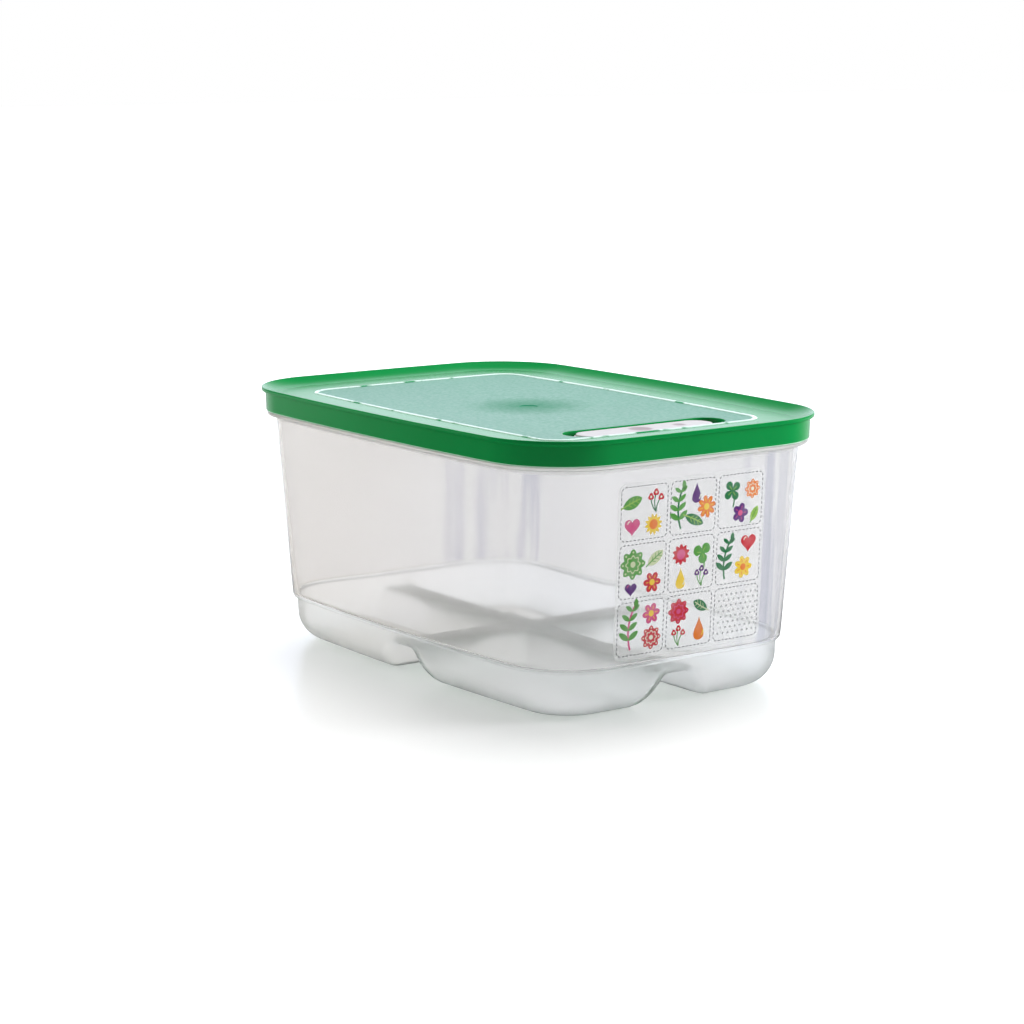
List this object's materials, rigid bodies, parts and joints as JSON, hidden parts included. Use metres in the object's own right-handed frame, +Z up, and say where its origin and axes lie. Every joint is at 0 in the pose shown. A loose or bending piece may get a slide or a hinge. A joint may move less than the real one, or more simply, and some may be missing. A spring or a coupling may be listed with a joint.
{
  "type": "vented food storage container",
  "caption": "Clear rounded rectangular fridge keeper on hollow feet, with a soft press-on lid that has a sunk panel and a sliding air vent at one end.",
  "frame": {"origin": "centre of the outside footprint at the plane on which the four feet stand", "axes": "+X along the long side towards the vent, +Y along the short side, +Z up"},
  "size_m": [0.28, 0.194, 0.1364],
  "materials": {
    "clear_shell": "clear, slightly hazy, frosted on the feet",
    "green_seal": "soft satin, fine matte grain inside the bead",
    "white_slider": "satin"
  },
  "bodies": {
    "tub": {"tub": "clear_shell"},
    "lid": {"lid": "green_seal"},
    "vent_slider": {"vent_slider": "white_slider"}
  },
  "joints": [
    {"name": "lid_lift", "type": "slide", "parent": "tub", "child": "lid", "axis": [0, 0, 1], "range_m": [0, 0.16]},
    {"name": "vent_slide", "type": "slide", "parent": "lid", "child": "vent_slider", "axis": [0, 1, 0], "range_m": [-0.006, 0.006]}
  ]
}
